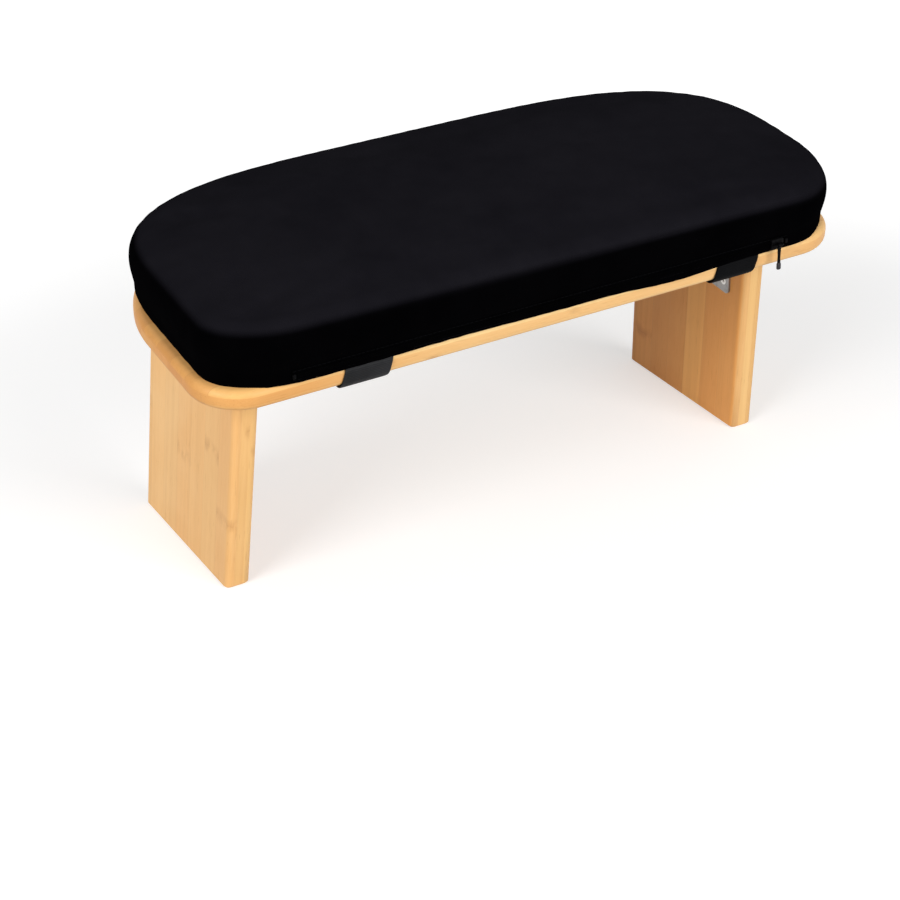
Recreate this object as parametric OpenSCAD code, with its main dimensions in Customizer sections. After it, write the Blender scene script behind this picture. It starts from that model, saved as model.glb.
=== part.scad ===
// Folding kneeling bench: a bamboo seat on two splayed board legs that fold flat
// under it on strap hinges, with a strapped-on foam cushion in a zipped cover.
// +X runs along the seat, -Y is the low side that the sitter's knees point to, +Z is up.
// The origin is on the ground under the middle of the bench.

/* [Seat board] */
// Length of the seat board
board_l = 460; // [400:5:560]
// Depth of the seat board
board_d = 199; // [180:1:240]
// Thickness of the seat board
board_t = 14; // [12:0.5:22]
// Corner radius in plan on the low side
board_near_r = 34; // [20:1:45]
// Corner radius in plan on the high side
board_far_r = 104; // [60:1:110]
// Round along the board's top and bottom edges
board_edge_r = 5; // [2:0.5:5.5]
// Height of the seat's underside above the ground, midway front to back
seat_h = 167; // [140:1:168]
// Tilt of the seat, which lifts the far side, in degrees
seat_tilt = 6; // [0:0.5:10]

/* [Legs] */
// Distance of each leg's outer face inside the end of the board, at its top
leg_in = 34; // [26:0.5:36]
// Thickness of a leg
leg_t = 17; // [14:0.5:20]
// Width of a leg, front to back
leg_w = 132; // [120:1:140]
// Distance of the leg's middle behind the seat's middle, at its top
leg_offset = 6; // [0:0.5:10]
// Outward splay of each leg, in degrees
leg_splay = 3.7; // [2:0.1:6]
// Lean of the legs towards the high side, down from the seat, in degrees
leg_lean = 3; // [0:0.5:6]
// Round on the legs' upright edges
leg_edge_r = 4; // [1:0.5:6]
// Chamfer round the foot
foot_chamfer = 1.2; // [0.5:0.1:2]

/* [Hinges] */
// Width of a hinge leaf, along its pin
leaf_w = 22; // [18:1:26]
// Length of a hinge leaf, from the pin's axis to its end
leaf_l = 51; // [45:1:60]
// Thickness of a hinge leaf
leaf_t = 1.5; // [1:0.1:1.6]
// Corner radius at the leaf's end
leaf_corner_r = 4; // [2:0.5:6]
// Outer radius of the hinge barrel
barrel_r = 2.9; // [2.7:0.1:3.4]
// Radius of the hinge pin
pin_r = 1.25; // [1:0.05:1.5]
// Length of a pin end beyond the barrel
pin_end = 0.4; // [0.2:0.1:1]
// Radial clearance between the pin and the knuckle that turns on it
pin_clear = 0.05; // [0.02:0.01:0.1]
// Side gap between two knuckles, and between the barrel and the wood
knuckle_gap = 0.3; // [0.2:0.05:0.5]
// Share of the barrel's length that the leg leaf's knuckle takes
middle_knuckle_share = 0.36; // [0.3:0.01:0.45]
// Distance of the front hinge's middle from the leg's front edge
hinge_front_in = 28; // [24:1:34]
// Distance of the rear hinge's middle from the leg's rear edge
hinge_rear_in = 28; // [24:1:34]

/* [Screws] */
// Radius of a screw's head
screw_head_r = 3; // [2.6:0.1:3.4]
// Radius of a screw's shank
screw_r = 1.6; // [1.3:0.1:2]
// Length of a screw below its head
screw_l = 9.5; // [7:0.5:10]
// Distance of a leaf's screws to either side of its middle line
screw_stagger = 4.5; // [3:0.5:5.5]
// Length of the cross in a screw's head
cross_l = 3.4; // [3:0.1:4]
// Width of the cross in a screw's head
cross_w = 0.8; // [0.6:0.1:1]
// Depth of the cross in a screw's head
cross_deep = 0.8; // [0.5:0.1:1]

/* [Cushion] */
// Distance of the cushion's ends inside the board's ends
cushion_end_in = 1; // [0:0.5:6]
// Overhang of the cushion past each long edge of the board
cushion_over = 3.5; // [2:0.5:5]
// Height of the cushion's side, up to the shoulder of its top
cushion_h = 39; // [28:1:50]
// Rise of the cushion's top above its shoulder
cushion_crown = 6; // [2:0.5:14]
// Corner radius in plan on the low side
cushion_near_r = 50; // [26:1:54]
// Corner radius in plan on the high side
cushion_far_r = 100; // [60:1:110]
// How far the shoulder of the top lies inside the widest outline
shoulder_in = 12; // [8:0.5:16]
// How far the sides are drawn in at the bottom seam
seam_in = 2; // [1:0.5:4]
// Height of the upright band along the bottom seam that holds the zip
band_h = 9; // [8:0.5:12]
// Thickness of the cover's cloth
cover_t = 1.2; // [0.8:0.1:2]
// Thickness of the panel under the cushion
base_t = 1; // [0.8:0.1:2]
// Clearance round the foam in its cover
foam_clear = 0.3; // [0.2:0.1:0.6]

/* [Straps] */
// Width of a strap, along the board's edge
strap_w = 32; // [24:1:36]
// Thickness of a strap
strap_t = 1.2; // [0.8:0.1:1.6]
// Gap between a strap and the edge that it wraps
strap_gap = 0.2; // [0.1:0.1:0.4]
// Length of a strap's tail under the board, from the board's edge
strap_tail = 36; // [24:1:38]
// Distance of the left strap's middle from where the board's near corner starts
near_strap_left_in = 66; // [50:1:90]
// Distance of the right strap's middle from where the board's near corner starts
near_strap_right_in = 58; // [50:1:90]
// Distance of each far strap's middle from where the board's far corner starts
far_strap_in = 40; // [20:1:60]
// Thickness of the fastening patch between a strap's tail and the board
patch_t = 1; // [0.8:0.1:1.4]
// Distance of a patch's edge inside the strap's sides
patch_in = 2; // [1:0.5:4]

/* [Zip] */
// Distance of the zip's middle line above the cushion's bottom
zip_z = 4.6; // [4.5:0.1:4.8]
// Distance of the zip's ends from where the cushion's near corners start
zip_end_in = 1; // [0:0.5:10]
// Width of the zip's tape
tape_w = 8; // [7:0.5:8.5]
// Thickness of the zip's tape
tape_t = 0.5; // [0.3:0.1:0.7]
// Width of the zip's row of teeth
teeth_w = 3; // [2.4:0.1:3.4]
// Height of the zip's teeth above the tape
teeth_h = 1.4; // [1:0.1:1.6]
// Width of the slot that the zip closes
slot_w = 5; // [4:0.5:6]
// Length of an end stop, along the zip
stop_l = 2; // [1.5:0.1:3]
// Length of the slider
slider_l = 9; // [8:0.5:11]
// Width of the slider, across the zip
slider_w = 7.6; // [7.2:0.1:7.8]
// Thickness of the slider's plate
slider_t = 1; // [0.8:0.1:1.4]
// Gap between the slider and the zip
slider_gap = 0.2; // [0.1:0.05:0.3]
// Distance of the closed slider's middle from the end of the zip
slider_in = 9; // [9:0.5:16]
// Radius of the bar that carries the pull
bar_r = 0.6; // [0.5:0.05:0.8]
// Outer radius of the pull's eye
eye_r = 1.6; // [1.4:0.05:1.8]
// Length of the pull, from its eye to its end
pull_l = 17; // [14:0.5:24]
// Width of the pull
pull_w = 2.4; // [2:0.1:2.8]
// Thickness of the pull
pull_t = 1.2; // [1:0.1:1.6]
// Length of the wider tip of the pull
tip_l = 5; // [3:0.5:8]
// How far the tip stands out to each side
tip_out = 0.3; // [0.2:0.1:0.6]

/* [Hidden] */
$fn = 64;
// Overrun of a cut past the face that it opens
over = 1;
// Points on a near and a far corner of the cushion, and rings on its top
near_steps = 8;
far_steps = 12;
cap_steps = 4;
left = -1;
right = 1;
near = -1;
far = 1;
// Bulge of the cushion's side, from the zip band up to the shoulder:
// shares of shoulder_in, and shares of the height between band and shoulder
bulge_shares = [[0.1, 0.15], [0.017, 0.33], [0, 0.48], [0.067, 0.65],
    [0.25, 0.8], [0.54, 0.915], [1, 1]];
// Places of a leaf's screws along it, as shares of its length
screw_shares = [0.26, 0.55, 0.83];
// Distance between the legs' inner faces where they meet the seat
leg_gap = board_l - 2 * (leg_in + leg_t);
// Distance of a hinge's axis from each wooden face, and from a plate beside a turning knuckle
axis_off = barrel_r + knuckle_gap;
// Place of a hinge's axis inside the corner of leg and seat
axis_in = axis_off * (1 - sin(leg_splay)) / cos(leg_splay);
middle_knuckle = leaf_w * middle_knuckle_share;
hinge_front_y = leg_offset - leg_w / 2 + hinge_front_in;
hinge_rear_y = leg_offset + leg_w / 2 - hinge_rear_in;
head_h = leaf_t;
// Slope of the ground as seen in a leg's face
foot_angle = atan(tan(seat_tilt) / cos(leg_splay));
cushion_l = board_l - 2 * cushion_end_in;
cushion_d = board_d + 2 * cushion_over;
near_strap_left = board_l / 2 - board_near_r - near_strap_left_in;
near_strap_right = board_l / 2 - board_near_r - near_strap_right_in;
far_strap_x = board_l / 2 - board_far_r - far_strap_in;
zip_half_l = cushion_l / 2 - cushion_near_r - zip_end_in;
slider_x = zip_half_l - slider_in;
// The zip lies on the cushion's upright band on the low side
zip_y = cushion_d / 2 - seam_in;
slider_out = tape_t + teeth_h + slider_gap + slider_t;
bar_out = slider_out + eye_r + slider_gap;
// Reach of the tilted bench towards the low and the high side of the seat's own middle
near_reach = (zip_y + bar_out) * cos(seat_tilt) + (board_t + zip_z) * sin(seat_tilt) + eye_r;
far_reach = max(foot_reach(leg_w / 2),
    cushion_d / 2 * cos(seat_tilt) - (board_t + cushion_h / 2) * sin(seat_tilt),
    (board_d / 2 - board_edge_r) * cos(seat_tilt) + board_edge_r * (1 - sin(seat_tilt)));
origin_y = (near_reach - far_reach) / 2;

// From the seat's own frame, level and on its underside, to the standing bench
module on_seat() {
    translate([0, origin_y, seat_h])
        rotate([seat_tilt, 0, 0])
            children();
}

// One side of the bench: the right side as drawn, the left side mirrored
module on_side(side) {
    mirror([side == left ? 1 : 0, 0, 0])
        children();
}

// Plan of a board or panel with its own corner radii on the near and the far side
module plan(length, depth, near_r, far_r) {
    for (side = [left, right]) {
        translate([side * (length / 2 - near_r), near_r - depth / 2])
            circle(near_r);
        translate([side * (length / 2 - far_r), depth / 2 - far_r])
            circle(far_r);
    }
    translate([near_r - length / 2, -depth / 2])
        square([length - 2 * near_r, depth / 2]);
    translate([far_r - length / 2, 0])
        square([length - 2 * far_r, depth / 2]);
    translate([-length / 2, near_r - depth / 2])
        square([length, depth - near_r - far_r]);
}

// Section through the board's rounded edge, from a middle at x = 0 to the edge at x = reach
module edge_section(reach) {
    square([reach - board_edge_r, board_t]);
    translate([0, board_edge_r])
        square([reach, board_t - 2 * board_edge_r]);
    for (z = [board_edge_r, board_t - board_edge_r])
        translate([reach - board_edge_r, z])
            circle(board_edge_r);
}

module board_corner(x, y, radius, turn) {
    translate([x, y, 0])
        rotate([0, 0, turn])
            rotate_extrude(angle = 90)
                edge_section(radius);
}

// Straight run of the board's edge between two corners, towards +Y
module board_run(length, radius) {
    translate([-length / 2, 0, 0])
        rotate([90, 0, 90])
            linear_extrude(length)
                edge_section(radius);
}

module board_slab() {
    near_x = board_l / 2 - board_near_r;
    near_y = board_near_r - board_d / 2;
    far_x = board_l / 2 - board_far_r;
    far_y = board_d / 2 - board_far_r;
    board_corner(-near_x, near_y, board_near_r, 180);
    board_corner(near_x, near_y, board_near_r, 270);
    board_corner(far_x, far_y, board_far_r, 0);
    board_corner(-far_x, far_y, board_far_r, 90);
    translate([0, far_y, 0])
        board_run(2 * far_x, board_far_r);
    translate([0, near_y, 0])
        mirror([0, 1, 0])
            board_run(2 * near_x, board_near_r);
    translate([0, far_y, 0])
        rotate([90, 0, 0])
            linear_extrude(far_y - near_y) {
                edge_section(board_l / 2);
                mirror([1, 0])
                    edge_section(board_l / 2);
            }
}

// Frame of a leaf: the pin runs along Y, the leaf along +X, the wood lies axis_off below
module leaf_on_seat(y) {
    translate([leg_gap / 2 - axis_in, y, -axis_off])
        rotate([0, 180, 0])
            children();
}

module leaf_on_leg(y) {
    translate([leg_gap / 2 - axis_in, y, -axis_off])
        rotate([180, 90 - leg_splay, 0])
            children();
}

module at_screws() {
    for (i = [0 : len(screw_shares) - 1])
        translate([leaf_l * screw_shares[i], (i % 2 == 0 ? 1 : -1) * screw_stagger, leaf_t - axis_off])
            children();
}

module pilot_holes() {
    at_screws()
        translate([0, 0, -screw_l])
            cylinder(r = screw_r, h = screw_l);
}

module screw() {
    difference() {
        union() {
            translate([0, 0, -screw_l])
                cylinder(r = screw_r, h = screw_l);
            translate([0, 0, -head_h])
                cylinder(r1 = screw_r, r2 = screw_head_r, h = head_h);
        }
        for (turn = [0, 90])
            rotate([0, 0, turn])
                translate([-cross_l / 2, -cross_w / 2, -cross_deep])
                    cube([cross_l, cross_w, cross_deep + over]);
    }
}

// One leaf of a hinge. The seat leaf holds the two outer knuckles, the leg leaf the middle one
module leaf(outer) {
    knuckle = (leaf_w - middle_knuckle) / 2 - (outer ? knuckle_gap : 0);
    color("silver")
        difference() {
            union() {
                translate([0, 0, -axis_off])
                    leaf_plate();
                rotate([90, 0, 0])
                    cylinder(r = barrel_r, h = leaf_w, center = true);
            }
            rotate([90, 0, 0])
                cylinder(r = pin_r + (outer ? 0 : pin_clear), h = leaf_w + 2 * over, center = true);
            if (outer)
                knuckle_notch(0, middle_knuckle + 2 * knuckle_gap);
            else
                for (side = [near, far])
                    knuckle_notch(side * (leaf_w + middle_knuckle) / 4 + side * over / 2,
                        (leaf_w - middle_knuckle) / 2 + over);
            at_screws()
                translate([0, 0, -head_h]) {
                    cylinder(r1 = screw_r, r2 = screw_head_r, h = head_h);
                    translate([0, 0, -over])
                        cylinder(r = screw_r, h = leaf_t + over);
                }
        }
}

module leaf_plate() {
    linear_extrude(leaf_t) {
        translate([0, -leaf_w / 2])
            square([leaf_l - leaf_corner_r, leaf_w]);
        translate([0, leaf_corner_r - leaf_w / 2])
            square([leaf_l, leaf_w - 2 * leaf_corner_r]);
        for (side = [near, far])
            translate([leaf_l - leaf_corner_r, side * (leaf_w / 2 - leaf_corner_r)])
                circle(leaf_corner_r);
    }
}

module knuckle_notch(y, width) {
    translate([-barrel_r - over, y - width / 2, -axis_off - over])
        cube([barrel_r + over + axis_off, width, axis_off + barrel_r + 2 * over]);
}

module hinge_pin(side, y) {
    color("silver")
        on_seat()
            on_side(side)
                leaf_on_seat(y)
                    rotate([90, 0, 0])
                        cylinder(r = pin_r, h = leaf_w + 2 * pin_end, center = true);
}

module seat_leaf(side, y) {
    on_seat()
        on_side(side)
            leaf_on_seat(y)
                leaf(true);
}

module leg_leaf(side, y) {
    on_seat()
        on_side(side)
            leaf_on_leg(y)
                leaf(false);
}

module seat_screws(side) {
    color("lightgray")
        on_seat()
            on_side(side)
                for (y = [hinge_front_y, hinge_rear_y])
                    leaf_on_seat(y)
                        at_screws()
                            screw();
}

module leg_screws(side) {
    color("lightgray")
        on_seat()
            on_side(side)
                for (y = [hinge_front_y, hinge_rear_y])
                    leaf_on_leg(y)
                        at_screws()
                            screw();
}

module seat_board() {
    color("burlywood")
        on_seat()
            difference() {
                board_slab();
                for (side = [left, right])
                    for (y = [hinge_front_y, hinge_rear_y])
                        on_side(side)
                            leaf_on_seat(y)
                                pilot_holes();
            }
}

// Section across a leg, with rounded upright edges
module leg_section() {
    width = leg_w * cos(leg_lean);
    translate([0, leg_edge_r - width / 2])
        square([leg_t, width - 2 * leg_edge_r]);
    translate([leg_edge_r, -width / 2])
        square([leg_t - 2 * leg_edge_r, width]);
    for (x = [leg_edge_r, leg_t - leg_edge_r])
        for (side = [near, far])
            translate([x, side * (width / 2 - leg_edge_r)])
                circle(leg_edge_r);
}

// A bar whose four sides cut a chamfer along an edge on its middle line
module chamfer_bar(length) {
    side = foot_chamfer * sqrt(2);
    rotate([0, 45, 0])
        cube([side, length, side], center = true);
}

// Where the leg's face at depth x meets the ground, midway along the seat's depth
function foot_z(x) = -(seat_h / cos(seat_tilt) + x * sin(leg_splay)) / cos(leg_splay);

module leg(side) {
    reach = seat_h + leg_w;
    color("tan")
        difference() {
            on_seat()
                on_side(side)
                    difference() {
                        translate([leg_gap / 2, leg_offset, 0])
                            rotate([leg_lean, -leg_splay, 0])
                                translate([0, 0, -reach])
                                    linear_extrude(reach + leg_t)
                                        leg_section();
                        translate([0, -leg_w, 0])
                            cube([board_l, 2 * leg_w, 2 * leg_t]);
                        translate([leg_gap / 2, 0, 0])
                            rotate([0, -leg_splay, 0])
                                for (x = [0, leg_t])
                                    translate([x, 0, foot_z(x)])
                                        rotate([-foot_angle, 0, 0])
                                            chamfer_bar(3 * leg_w);
                        for (y = [hinge_front_y, hinge_rear_y])
                            leaf_on_leg(y)
                                pilot_holes();
                    }
            translate([-board_l, -board_l, -reach])
                cube([2 * board_l, 2 * board_l, reach]);
            for (y = [-leg_w / 2, leg_w / 2])
                translate([side * leg_gap / 2, origin_y + foot_reach(y), 0])
                    rotate([0, 0, 90])
                        chamfer_bar(leg_gap);
        }
}

// Where the leg's edge at y from its middle meets the ground, from the seat's own middle
function foot_reach(y) = (leg_offset + y) * cos(seat_tilt)
    + (seat_h + (leg_offset + y) * sin(seat_tilt)) * tan(seat_tilt + atan(tan(leg_lean) * cos(leg_splay)));

// One ring of the cushion: its outline drawn in by inset, shrunk towards the middle by scale
function corner_arc(x, y, radius, start, steps) =
    [for (k = [0 : steps]) [x + radius * cos(start + 90 * k / steps), y + radius * sin(start + 90 * k / steps)]];

function outline(inset) = let (
        near_x = cushion_l / 2 - cushion_near_r,
        near_y = cushion_near_r - cushion_d / 2,
        far_x = cushion_l / 2 - cushion_far_r,
        far_y = cushion_d / 2 - cushion_far_r
    ) concat(
        corner_arc(near_x, near_y, cushion_near_r - inset, 270, near_steps),
        corner_arc(far_x, far_y, cushion_far_r - inset, 0, far_steps),
        corner_arc(-far_x, far_y, cushion_far_r - inset, 90, far_steps),
        corner_arc(-near_x, near_y, cushion_near_r - inset, 180, near_steps));

function ring(inset, z, scale) = [for (p = outline(inset)) [p[0] * scale, p[1] * scale, z]];

// Inset and height of each ring of the side, for a form drawn in by skin on all sides
function side_rings(skin) = [for (p = side_profile()) ring(p[0] + skin, min(p[1], cushion_h - skin), 1)];

function side_profile() = concat([[seam_in, band_h]],
    [for (p = bulge_shares) [p[0] * shoulder_in, band_h + p[1] * (cushion_h - band_h)]]);

// The crown rises from the shoulder to the middle as a parabola
function cap_rings(skin) = [for (k = [1 : cap_steps - 1]) let (scale = 1 - k / cap_steps)
    ring(shoulder_in + skin, cushion_h - skin + cushion_crown * (1 - pow(scale, 2)), scale)];

function crown_top(skin) = [0, 0, cushion_h - skin + cushion_crown];

function reversed(list) = [for (i = [len(list) - 1 : -1 : 0]) list[i]];

// A closed skin from a first pole through rings to a last pole
module skin_over(first, rings, last) {
    n = len(rings[0]);
    m = len(rings);
    points = concat([first], [for (r = rings) each r], [last]);
    faces = concat(
        [for (i = [0 : n - 1]) [0, 1 + i, 1 + (i + 1) % n]],
        [for (k = [0 : m - 2]) for (i = [0 : n - 1]) each [
            [1 + k * n + i, 1 + (k + 1) * n + i, 1 + (k + 1) * n + (i + 1) % n],
            [1 + k * n + i, 1 + (k + 1) * n + (i + 1) % n, 1 + k * n + (i + 1) % n]]],
        [for (i = [0 : n - 1]) [1 + m * n, 1 + (m - 1) * n + (i + 1) % n, 1 + (m - 1) * n + i]]);
    polyhedron(points, faces);
}

module foam_core() {
    skin = cover_t + foam_clear;
    color("ivory")
        on_seat()
            translate([0, 0, board_t])
                skin_over([0, 0, base_t], concat([ring(seam_in + skin, base_t, 1)],
                    side_rings(skin), cap_rings(skin)), crown_top(skin));
}

module cushion_cover() {
    color("dimgray")
        on_seat()
            translate([0, 0, board_t])
                difference() {
                    skin_over(crown_top(cover_t), concat(reversed(cap_rings(cover_t)),
                        reversed(side_rings(cover_t)), [ring(seam_in + cover_t, 0, 1)],
                        [ring(seam_in, 0, 1)], side_rings(0), cap_rings(0)), crown_top(0));
                    translate([-zip_half_l, -zip_y - over, zip_z - slot_w / 2])
                        cube([2 * zip_half_l, cover_t + 2 * over, slot_w]);
                }
}

module cushion_base_panel() {
    inset = seam_in + cover_t + foam_clear;
    color("dimgray")
        on_seat()
            translate([0, 0, board_t])
                linear_extrude(base_t)
                    plan(cushion_l - 2 * inset, cushion_d - 2 * inset, cushion_near_r - inset,
                        cushion_far_r - inset);
}

// Section of a strap round the board's far edge, with its bottom run held off by the patch
module strap_shape(grow) {
    bend_r = board_edge_r + strap_gap + grow;
    middle_y = board_d / 2 - board_edge_r;
    low_z = bend_r - patch_t - grow;
    for (z = [low_z, board_t - board_edge_r])
        translate([middle_y, z])
            circle(bend_r);
    translate([middle_y, low_z])
        square([bend_r, board_t - board_edge_r - low_z]);
    translate([board_d / 2 - strap_tail - over, -patch_t - grow])
        square([strap_tail + over - board_edge_r, board_t + patch_t + grow]);
}

module strap(x, side) {
    color("darkslategray")
        on_seat()
            mirror([0, side == near ? 1 : 0, 0])
                translate([x - strap_w / 2, 0, 0])
                    rotate([90, 0, 90])
                        linear_extrude(strap_w)
                            difference() {
                                strap_shape(strap_t);
                                strap_shape(0);
                                translate([0, board_t])
                                    square([board_d, board_t]);
                                translate([0, -board_t])
                                    square([board_d / 2 - strap_tail, 2 * board_t]);
                                translate([0, board_edge_r])
                                    square([board_d / 2 - board_edge_r, board_t]);
                            }
}

module patch(x, side) {
    mirror([0, side == near ? 1 : 0, 0])
        translate([x - strap_w / 2 + patch_in, board_d / 2 - strap_tail, -patch_t])
            cube([strap_w - 2 * patch_in, strap_tail - board_edge_r - patch_in, patch_t]);
}

module fastening_patches() {
    color("black")
        on_seat() {
            patch(-near_strap_left, near);
            patch(near_strap_right, near);
            patch(-far_strap_x, far);
            patch(far_strap_x, far);
        }
}

// Frame of the zip: X along it, Y up across it, Z out of the cushion's side
module on_zip() {
    on_seat()
        translate([0, -zip_y, board_t + zip_z])
            rotate([90, 0, 0])
                children();
}

module zip_chain() {
    color("black")
        on_zip() {
            translate([-zip_half_l, -tape_w / 2, 0])
                cube([2 * zip_half_l, tape_w, tape_t]);
            translate([-zip_half_l + stop_l, -teeth_w / 2, tape_t])
                cube([2 * (zip_half_l - stop_l), teeth_w, teeth_h]);
        }
}

module zip_end_stops() {
    color("dimgray")
        on_zip()
            for (x = [-zip_half_l, zip_half_l - stop_l])
                translate([x, -teeth_w / 2, tape_t])
                    cube([stop_l, teeth_w, teeth_h]);
}

module zip_slider() {
    inside = teeth_w + 2 * slider_gap;
    plate = tape_t + teeth_h + slider_gap;
    bar_l = slider_l - slider_t;
    color("dimgray")
        on_zip()
            translate([slider_x, 0, 0]) {
                difference() {
                    translate([-slider_l / 2, -slider_w / 2, tape_t + slider_gap])
                        cube([slider_l, slider_w, slider_out - tape_t - slider_gap]);
                    translate([-slider_l / 2 - over, -inside / 2, 0])
                        cube([slider_l + 2 * over, inside, plate]);
                }
                translate([-bar_l / 2, 0, bar_out])
                    rotate([0, 90, 0])
                        cylinder(r = bar_r, h = bar_l);
                for (side = [left, right])
                    translate([side * (bar_l - 2 * bar_r) / 2 - bar_r, -bar_r, slider_out - slider_t / 2])
                        cube([2 * bar_r, 2 * bar_r, bar_out - slider_out + slider_t / 2]);
            }
}

// The pull hangs plumb from its bar
module zip_pull() {
    color("gray")
        on_zip()
            translate([slider_x, 0, bar_out])
                rotate([-seat_tilt, 0, 0])
                    difference() {
                        union() {
                            rotate([0, 90, 0])
                                cylinder(r = eye_r, h = pull_w, center = true);
                            translate([-pull_w / 2, -pull_l, -pull_t / 2])
                                cube([pull_w, pull_l, pull_t]);
                            translate([-pull_w / 2 - tip_out, -pull_l, -pull_t / 2 - tip_out])
                                cube([pull_w + 2 * tip_out, tip_l, pull_t + 2 * tip_out]);
                        }
                        rotate([0, 90, 0])
                            cylinder(r = bar_r + pin_clear, h = pull_w + over, center = true);
                    }
}

module left_leg() leg(left);
module right_leg() leg(right);
module front_left_seat_leaf() seat_leaf(left, hinge_front_y);
module front_left_leg_leaf() leg_leaf(left, hinge_front_y);
module front_left_hinge_pin() hinge_pin(left, hinge_front_y);
module rear_left_seat_leaf() seat_leaf(left, hinge_rear_y);
module rear_left_leg_leaf() leg_leaf(left, hinge_rear_y);
module rear_left_hinge_pin() hinge_pin(left, hinge_rear_y);
module front_right_seat_leaf() seat_leaf(right, hinge_front_y);
module front_right_leg_leaf() leg_leaf(right, hinge_front_y);
module front_right_hinge_pin() hinge_pin(right, hinge_front_y);
module rear_right_seat_leaf() seat_leaf(right, hinge_rear_y);
module rear_right_leg_leaf() leg_leaf(right, hinge_rear_y);
module rear_right_hinge_pin() hinge_pin(right, hinge_rear_y);
module left_seat_screws() seat_screws(left);
module left_leg_screws() leg_screws(left);
module right_seat_screws() seat_screws(right);
module right_leg_screws() leg_screws(right);
module near_left_strap() strap(-near_strap_left, near);
module near_right_strap() strap(near_strap_right, near);
module far_left_strap() strap(-far_strap_x, far);
module far_right_strap() strap(far_strap_x, far);

seat_board();
left_leg();
right_leg();
front_left_seat_leaf();
front_left_leg_leaf();
front_left_hinge_pin();
rear_left_seat_leaf();
rear_left_leg_leaf();
rear_left_hinge_pin();
front_right_seat_leaf();
front_right_leg_leaf();
front_right_hinge_pin();
rear_right_seat_leaf();
rear_right_leg_leaf();
rear_right_hinge_pin();
left_seat_screws();
left_leg_screws();
right_seat_screws();
right_leg_screws();
foam_core();
cushion_cover();
cushion_base_panel();
near_left_strap();
near_right_strap();
far_left_strap();
far_right_strap();
fastening_patches();
zip_chain();
zip_end_stops();
zip_slider();
zip_pull();
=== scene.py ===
"""A folding kneeling bench with a strapped cushion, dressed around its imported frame.

Lengths are in metres, in the frame's own axes: +X along the seat, +Z up, and the
seat's low side towards -Y. "Seat axes" are the same, tilted with the seat, with
their origin in the middle of the board's underside.
"""
import math

import bpy
import numpy as np
from mathutils import Matrix, Vector


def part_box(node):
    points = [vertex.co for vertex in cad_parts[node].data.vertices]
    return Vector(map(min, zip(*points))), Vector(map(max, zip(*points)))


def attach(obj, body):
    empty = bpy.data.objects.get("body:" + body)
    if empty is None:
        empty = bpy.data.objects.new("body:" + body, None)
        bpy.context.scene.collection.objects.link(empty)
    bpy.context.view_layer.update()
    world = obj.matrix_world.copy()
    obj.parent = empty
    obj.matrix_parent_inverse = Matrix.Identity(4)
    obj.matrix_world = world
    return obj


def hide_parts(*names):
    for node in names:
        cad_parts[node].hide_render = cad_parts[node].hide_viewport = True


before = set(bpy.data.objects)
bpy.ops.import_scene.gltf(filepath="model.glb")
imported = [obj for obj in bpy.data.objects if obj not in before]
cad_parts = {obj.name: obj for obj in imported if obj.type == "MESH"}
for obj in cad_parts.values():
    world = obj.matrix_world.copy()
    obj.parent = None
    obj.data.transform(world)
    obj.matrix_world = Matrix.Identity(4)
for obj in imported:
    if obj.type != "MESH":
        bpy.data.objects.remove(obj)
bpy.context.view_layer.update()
MM = 0.001

# Sizes of the solids that the detailed pieces follow
SEAT_TILT = math.radians(6)
SEAT_H = 167 * MM
BOARD_L, BOARD_D, BOARD_T = 460 * MM, 199 * MM, 14 * MM
BOARD_NEAR_R, BOARD_FAR_R, BOARD_EDGE_R = 34 * MM, 104 * MM, 5 * MM
LEG_IN, LEG_T, LEG_W, LEG_Y, LEG_EDGE_R = 34 * MM, 17 * MM, 132 * MM, 6 * MM, 4 * MM
LEG_SPLAY, LEG_LEAN = math.radians(3.7), math.radians(3)
LEG_GAP = BOARD_L - 2 * (LEG_IN + LEG_T)
FOOT_CHAMFER = 1.2 * MM
FOOT_CHAMFER_RISE = FOOT_CHAMFER * 1.03
CUSHION_D, CUSHION_H, CUSHION_CROWN, CUSHION_ASIDE = 206 * MM, 39 * MM, 6 * MM, 5 * MM
PAD_HALF_L, PAD_D, PAD_CROWN = 231 * MM, CUSHION_D + 1.6 * MM, CUSHION_CROWN - 1 * MM
SHOULDER_IN, SEAM_IN, BAND_H = 12 * MM, 2 * MM, 9 * MM
STRAP_W, STRAP_T, STRAP_GAP, STRAP_TAIL = 32 * MM, 1.2 * MM, 0.2 * MM, 36 * MM
PATCH_T, PATCH_IN = 1 * MM, 2 * MM
ZIP_UP, ZIP_HALF_L, TAPE_W, TAPE_T = 4.6 * MM, 178 * MM, 8 * MM, 0.5 * MM
TEETH_W, TEETH_H, STOP_L = 3 * MM, 1.4 * MM, 2 * MM
SLIDER_L, SLIDER_W, SLIDER_T, SLIDER_GAP = 9 * MM, 7.6 * MM, 1 * MM, 0.2 * MM
SLIDER_X, BAR_R, EYE_R = 169 * MM, 0.6 * MM, 1.6 * MM
PULL_L, PULL_W, PULL_T, TIP_L, TIP_OUT = 17 * MM, 2.4 * MM, 1.2 * MM, 5 * MM, 0.3 * MM

TILT_COS, TILT_SIN = math.cos(SEAT_TILT), math.sin(SEAT_TILT)
SEAT_Y = (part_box("seat_board")[0].y + (BOARD_D / 2 - BOARD_EDGE_R) * TILT_COS
          + (BOARD_T - BOARD_EDGE_R) * TILT_SIN + BOARD_EDGE_R)
SEAT_MIDDLE = np.array([0.0, SEAT_Y, SEAT_H])
SEAT_TURN = np.array(Matrix.Rotation(SEAT_TILT, 3, "X"))
X_AXIS, Y_AXIS, Z_AXIS = np.eye(3)
CORNER_STEPS, CAP_SWEEPS = 401, 800
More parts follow.
